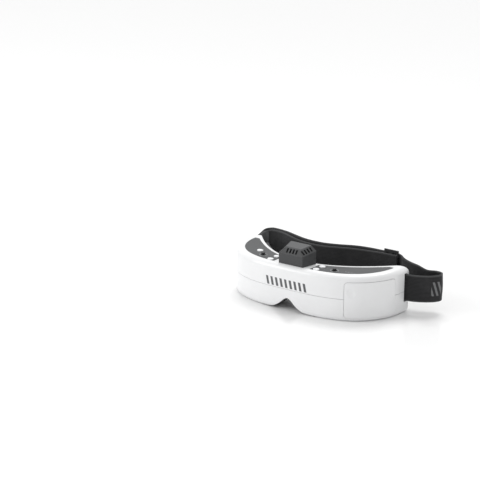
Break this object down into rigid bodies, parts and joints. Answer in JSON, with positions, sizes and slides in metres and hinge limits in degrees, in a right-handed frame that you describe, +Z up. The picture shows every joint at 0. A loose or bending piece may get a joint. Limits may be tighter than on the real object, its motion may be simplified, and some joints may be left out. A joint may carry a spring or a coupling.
{
  "type": "fpv goggles",
  "caption": "White video goggles with dark top panels, buttons, a vent cowl with a fan, a lift-off module bay cover, sliding optics, face foam and an elastic head strap.",
  "frame": {"origin": "on the plane the goggles rest on, straight under the middle of the front face, in the nose notch", "axes": "+Z up, -Y out of the front face, +X to the right seen from the front; X = 0 is the casing's middle plane"},
  "size_m": [0.2043, 0.086, 0.0592],
  "materials": {
    "shell_white": "satin white moulded plastic",
    "cover_white": "satin white moulded plastic",
    "panel_grey": "finely textured dark grey plastic",
    "cowl_grey": "satin dark grey plastic",
    "circuit_board": "green solder mask",
    "button_white": "white moulded plastic",
    "steel": "plain steel",
    "slider_black": "black moulded plastic",
    "webbing": "black woven elastic webbing",
    "foam": "soft dark fabric over foam",
    "black_plastic": "black moulded plastic",
    "lens_glass": "coated lens",
    "screen_glass": "dark display glass",
    "jack_black": "black moulded plastic"
  },
  "bodies": {
    "goggles": {"av_jack": "jack_black", "button_board_left": "circuit_board", "button_board_right": "circuit_board", "buzzer": "black_plastic", "card_slot": "jack_black", "dc_jack": "jack_black", "face_foam": "foam", "face_plate": "black_plastic", "fan_axle": "steel", "fan_frame": "black_plastic", "fan_spider": "black_plastic", "lower_shell": "shell_white", "main_board": "circuit_board", "module_bay_tray": "black_plastic", "module_pin_header": "black_plastic", "optic_rail_front": "steel", "optic_rail_rear": "steel", "shell_screws": "steel", "strap_bar_left": "steel", "strap_bar_right": "steel", "strap_eye_left": "webbing", "strap_eye_right": "webbing", "strap_inner_layer": "webbing", "strap_outer_layer": "webbing", "strap_right_run": "webbing", "strap_slider": "slider_black", "top_panel_left": "panel_grey", "top_panel_right": "panel_grey", "upper_shell": "shell_white", "vent_cowl": "cowl_grey", "video_port": "jack_black"},
    "fan": {"fan_rotor": "black_plastic"},
    "bay_cover": {"module_bay_cover": "cover_white"},
    "optic_left": {"optic_holder_left": "black_plastic", "lens_left": "lens_glass", "lens_retainer_left": "black_plastic", "display_left": "screen_glass", "display_board_left": "circuit_board", "eye_slider_left": "black_plastic"},
    "optic_right": {"optic_holder_right": "black_plastic", "lens_right": "lens_glass", "lens_retainer_right": "black_plastic", "display_right": "screen_glass", "display_board_right": "circuit_board", "eye_slider_right": "black_plastic"},
    "button_left_front": {"button_left_front": "button_white"},
    "button_left_outer": {"button_left_outer": "button_white"},
    "button_left_rear": {"button_left_rear": "button_white"},
    "button_right_front": {"button_right_front": "button_white"},
    "button_right_rear": {"button_right_rear": "button_white"},
    "nav_gimbal_left": {"nav_gimbal_left": "black_plastic"},
    "nav_rocker_left": {"nav_rocker_left": "black_plastic"},
    "nav_stick_left": {"nav_stick_left": "black_plastic"},
    "nav_gimbal_right": {"nav_gimbal_right": "black_plastic"},
    "nav_rocker_right": {"nav_rocker_right": "black_plastic"},
    "nav_stick_right": {"nav_stick_right": "black_plastic"}
  },
  "joints": [
    {"name": "fan_spin", "type": "hinge", "parent": "goggles", "child": "fan", "pos_m": [0, 0.0135, 0.0447], "axis": [0, 0, 1], "continuous": true},
    {"name": "bay_cover_lift", "type": "slide", "parent": "goggles", "child": "bay_cover", "axis": [0.788, -0.6157, 0], "range_m": [0, 0.03]},
    {"name": "optic_left_slide", "type": "slide", "parent": "goggles", "child": "optic_left", "axis": [1, 0, 0], "range_m": [-0.0025, 0.0025]},
    {"name": "optic_right_slide", "type": "slide", "parent": "goggles", "child": "optic_right", "axis": [1, 0, 0], "range_m": [-0.0025, 0.0025]},
    {"name": "button_left_front_press", "type": "slide", "parent": "goggles", "child": "button_left_front", "axis": [0, 0, -1], "range_m": [0, 0.0004], "stiffness_N_per_m": 600},
    {"name": "button_left_outer_press", "type": "slide", "parent": "goggles", "child": "button_left_outer", "axis": [0, 0, -1], "range_m": [0, 0.0004], "stiffness_N_per_m": 600},
    {"name": "button_left_rear_press", "type": "slide", "parent": "goggles", "child": "button_left_rear", "axis": [0, 0, -1], "range_m": [0, 0.0004], "stiffness_N_per_m": 600},
    {"name": "button_right_front_press", "type": "slide", "parent": "goggles", "child": "button_right_front", "axis": [0, 0, -1], "range_m": [0, 0.0004], "stiffness_N_per_m": 600},
    {"name": "button_right_rear_press", "type": "slide", "parent": "goggles", "child": "button_right_rear", "axis": [0, 0, -1], "range_m": [0, 0.0004], "stiffness_N_per_m": 600},
    {"name": "nav_left_pitch", "type": "hinge", "parent": "goggles", "child": "nav_gimbal_left", "pos_m": [-0.0395, 0.0169, 0.0395], "axis": [1, 0, 0], "range_deg": [-5, 5], "stiffness_Nm_per_rad": 0.02},
    {"name": "nav_left_roll", "type": "hinge", "parent": "nav_gimbal_left", "child": "nav_rocker_left", "pos_m": [-0.0395, 0.0169, 0.0395], "axis": [0, 1, 0], "range_deg": [-5, 5], "stiffness_Nm_per_rad": 0.02},
    {"name": "nav_left_press", "type": "slide", "parent": "nav_rocker_left", "child": "nav_stick_left", "axis": [0, 0, -1], "range_m": [0, 0.00035], "stiffness_N_per_m": 600},
    {"name": "nav_right_pitch", "type": "hinge", "parent": "goggles", "child": "nav_gimbal_right", "pos_m": [0.0395, 0.0169, 0.0395], "axis": [1, 0, 0], "range_deg": [-5, 5], "stiffness_Nm_per_rad": 0.02},
    {"name": "nav_right_roll", "type": "hinge", "parent": "nav_gimbal_right", "child": "nav_rocker_right", "pos_m": [0.0395, 0.0169, 0.0395], "axis": [0, 1, 0], "range_deg": [-5, 5], "stiffness_Nm_per_rad": 0.02},
    {"name": "nav_right_press", "type": "slide", "parent": "nav_rocker_right", "child": "nav_stick_right", "axis": [0, 0, -1], "range_m": [0, 0.00035], "stiffness_N_per_m": 600}
  ]
}
